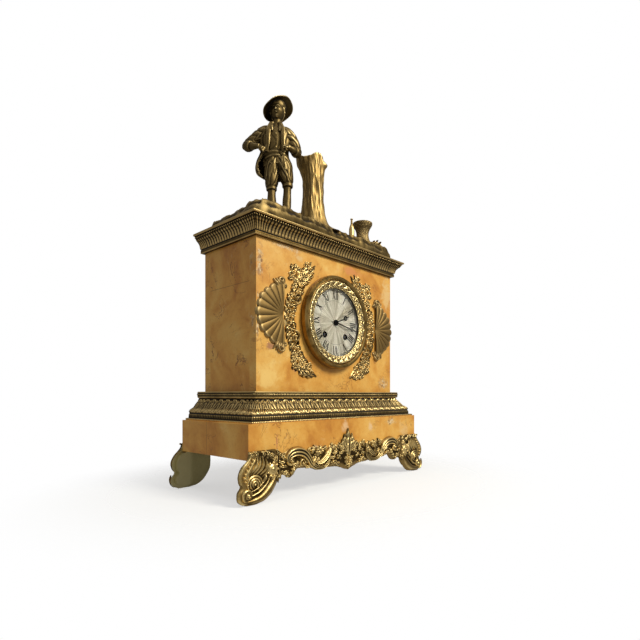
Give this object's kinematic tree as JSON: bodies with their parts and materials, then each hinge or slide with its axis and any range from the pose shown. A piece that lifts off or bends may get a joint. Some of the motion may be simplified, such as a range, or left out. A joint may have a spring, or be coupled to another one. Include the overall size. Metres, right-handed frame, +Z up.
{
  "type": "figural clock",
  "caption": "Marble mantel clock with gilt mounts, a glazed round dial, a striking pendulum movement and a cast figure on top.",
  "frame": {"origin": "on the floor, under the middle of the plinth", "axes": "+Z up, the dial faces -Y, +X to the right seen from the front"},
  "size_m": [0.352, 0.145, 0.5007],
  "materials": {
    "marble": "polished yellow marble",
    "core_stone": "plain sawn stone",
    "gilt_bronze": "aged gilt bronze",
    "dark_bronze": "dark patinated bronze",
    "movement_brass": "polished brass",
    "steel": "steel",
    "silvered": "silvered brass",
    "hands": "blackened steel",
    "glass": "clear glass"
  },
  "bodies": {
    "case": {"plinth_core": "core_stone", "plinth_slabs": "marble", "case_front_slab": "marble", "case_side_slabs": "marble", "case_back_slab": "marble", "case_boards": "core_stone", "lower_moulding": "gilt_bronze", "cornice_moulding": "gilt_bronze", "terrain_base": "gilt_bronze", "tree_stump": "gilt_bronze", "bottle": "gilt_bronze", "straw_basket": "gilt_bronze", "curled_branch": "gilt_bronze", "front_foot_left": "gilt_bronze", "front_foot_right": "gilt_bronze", "rear_foot_left": "gilt_bronze", "rear_foot_right": "gilt_bronze", "front_apron": "gilt_bronze", "shell_mount_left": "gilt_bronze", "shell_mount_right": "gilt_bronze", "dial_seat_ring": "movement_brass", "dial_plate": "silvered", "movement_front_plate": "movement_brass", "movement_back_plate": "movement_brass", "movement_fixings": "steel", "movement_straps": "steel", "rear_ring": "movement_brass", "suspension_cock": "movement_brass", "bell_stand": "steel", "bell": "movement_brass", "figure_legs": "dark_bronze", "figure_torso": "dark_bronze", "figure_arms": "dark_bronze", "figure_head": "dark_bronze", "figure_hat": "dark_bronze"},
    "front_door": {"bezel_ring": "dark_bronze", "foliate_ring": "gilt_bronze", "dial_glass": "glass"},
    "back_door": {"rear_door": "movement_brass"},
    "minute_work": {"cannon_pinion": "movement_brass", "minute_hand": "hands"},
    "minute_wheel_body": {"minute_wheel": "movement_brass"},
    "hour_work": {"hour_wheel": "movement_brass", "hour_hand": "hands"},
    "going_barrel_body": {"going_barrel": "movement_brass"},
    "going_second_body": {"going_second_wheel": "movement_brass"},
    "centre_body": {"centre_wheel": "movement_brass"},
    "third_body": {"third_wheel": "movement_brass"},
    "escape_body": {"escape_wheel": "movement_brass"},
    "going_winding_body": {"going_winding_arbor": "steel"},
    "strike_barrel_body": {"strike_barrel": "movement_brass"},
    "strike_second_body": {"strike_second_wheel": "movement_brass"},
    "pin_wheel_body": {"pin_wheel": "movement_brass"},
    "locking_body": {"locking_wheel": "movement_brass"},
    "fly_body": {"fly": "movement_brass"},
    "strike_winding_body": {"strike_winding_arbor": "steel"},
    "anchor_body": {"pallet_anchor": "steel"},
    "pendulum": {"pendulum_rod": "steel", "pendulum_bob": "movement_brass"},
    "hammer_body": {"hammer": "steel"}
  },
  "joints": [
    {"name": "front_door_hinge", "type": "hinge", "parent": "case", "child": "front_door", "pos_m": [0.0627, -0.046, 0.2108], "axis": [0, 0, 1], "range_deg": [0, 90]},
    {"name": "rear_door_hinge", "type": "hinge", "parent": "case", "child": "back_door", "pos_m": [0.057, 0.0643, 0.2108], "axis": [0, 0, -1], "range_deg": [0, 100]},
    {"name": "minute_hand_turn", "type": "hinge", "parent": "case", "child": "minute_work", "pos_m": [0, -0.02, 0.2108], "axis": [0, 1, 0], "continuous": true},
    {"name": "minute_wheel_turn", "type": "hinge", "parent": "case", "child": "minute_wheel_body", "pos_m": [0.00983, -0.02, 0.21768], "axis": [0, 1, 0], "continuous": true},
    {"name": "hour_hand_turn", "type": "hinge", "parent": "case", "child": "hour_work", "pos_m": [0, -0.02, 0.2108], "axis": [0, 1, 0], "continuous": true},
    {"name": "third_wheel_turn", "type": "hinge", "parent": "case", "child": "third_body", "pos_m": [0, -0.02, 0.22646], "axis": [0, 1, 0], "continuous": true},
    {"name": "centre_wheel_turn", "type": "hinge", "parent": "case", "child": "centre_body", "pos_m": [0, -0.02, 0.2108], "axis": [0, 1, 0], "continuous": true},
    {"name": "going_second_turn", "type": "hinge", "parent": "case", "child": "going_second_body", "pos_m": [0.0156, -0.02, 0.21433], "axis": [0, 1, 0], "continuous": true},
    {"name": "going_barrel_turn", "type": "hinge", "parent": "case", "child": "going_barrel_body", "pos_m": [0.02, -0.02, 0.1938], "axis": [0, 1, 0], "continuous": true},
    {"name": "escape_wheel_turn", "type": "hinge", "parent": "case", "child": "escape_body", "pos_m": [0, -0.02, 0.24038], "axis": [0, 1, 0], "continuous": true},
    {"name": "locking_wheel_turn", "type": "hinge", "parent": "case", "child": "locking_body", "pos_m": [-0.0183, -0.02, 0.24055], "axis": [0, 1, 0], "continuous": true},
    {"name": "pin_wheel_turn", "type": "hinge", "parent": "case", "child": "pin_wheel_body", "pos_m": [-0.02484, -0.02, 0.22921], "axis": [0, 1, 0], "continuous": true},
    {"name": "strike_second_turn", "type": "hinge", "parent": "case", "child": "strike_second_body", "pos_m": [-0.01808, -0.02, 0.21471], "axis": [0, 1, 0], "continuous": true},
    {"name": "strike_barrel_turn", "type": "hinge", "parent": "case", "child": "strike_barrel_body", "pos_m": [-0.02, -0.02, 0.1938], "axis": [0, 1, 0], "continuous": true},
    {"name": "fly_turn", "type": "hinge", "parent": "case", "child": "fly_body", "pos_m": [-0.00921, -0.02, 0.2458], "axis": [0, 1, 0], "continuous": true},
    {"name": "going_winding", "type": "hinge", "parent": "case", "child": "going_winding_body", "pos_m": [0.02, -0.02, 0.1938], "axis": [0, 1, 0], "range_deg": [0, 1800]},
    {"name": "strike_winding", "type": "hinge", "parent": "case", "child": "strike_winding_body", "pos_m": [-0.02, -0.02, 0.1938], "axis": [0, 1, 0], "range_deg": [0, 1800]},
    {"name": "pendulum_swing", "type": "hinge", "parent": "case", "child": "pendulum", "pos_m": [0, 0.012, 0.2548], "axis": [0, 1, 0], "range_deg": [-4, 4]},
    {"name": "anchor_rock", "type": "hinge", "parent": "case", "child": "anchor_body", "pos_m": [0, -0.02, 0.25178], "axis": [0, 1, 0], "range_deg": [-4, 4]},
    {"name": "hammer_lift", "type": "hinge", "parent": "case", "child": "hammer_body", "pos_m": [-0.034, -0.02, 0.2128], "axis": [0, 1, 0], "range_deg": [0, 14], "stiffness_Nm_per_rad": 0.003, "springref_deg": -17.19}
  ],
  "couplings": [
    {"joint": "minute_wheel_turn", "follows": "minute_hand_turn", "ratio": -0.33333},
    {"joint": "hour_hand_turn", "follows": "minute_hand_turn", "ratio": 0.083333},
    {"joint": "centre_wheel_turn", "follows": "third_wheel_turn", "ratio": -0.0875},
    {"joint": "going_second_turn", "follows": "third_wheel_turn", "ratio": 0.0097222},
    {"joint": "going_barrel_turn", "follows": "third_wheel_turn", "ratio": -0.0016204},
    {"joint": "escape_wheel_turn", "follows": "third_wheel_turn", "ratio": -11.429},
    {"joint": "pin_wheel_turn", "follows": "locking_wheel_turn", "ratio": -0.1},
    {"joint": "strike_second_turn", "follows": "locking_wheel_turn", "ratio": 0.011111},
    {"joint": "strike_barrel_turn", "follows": "locking_wheel_turn", "ratio": -0.0018519},
    {"joint": "fly_turn", "follows": "locking_wheel_turn", "ratio": -10.667},
    {"joint": "anchor_rock", "follows": "pendulum_swing", "ratio": 1}
  ]
}
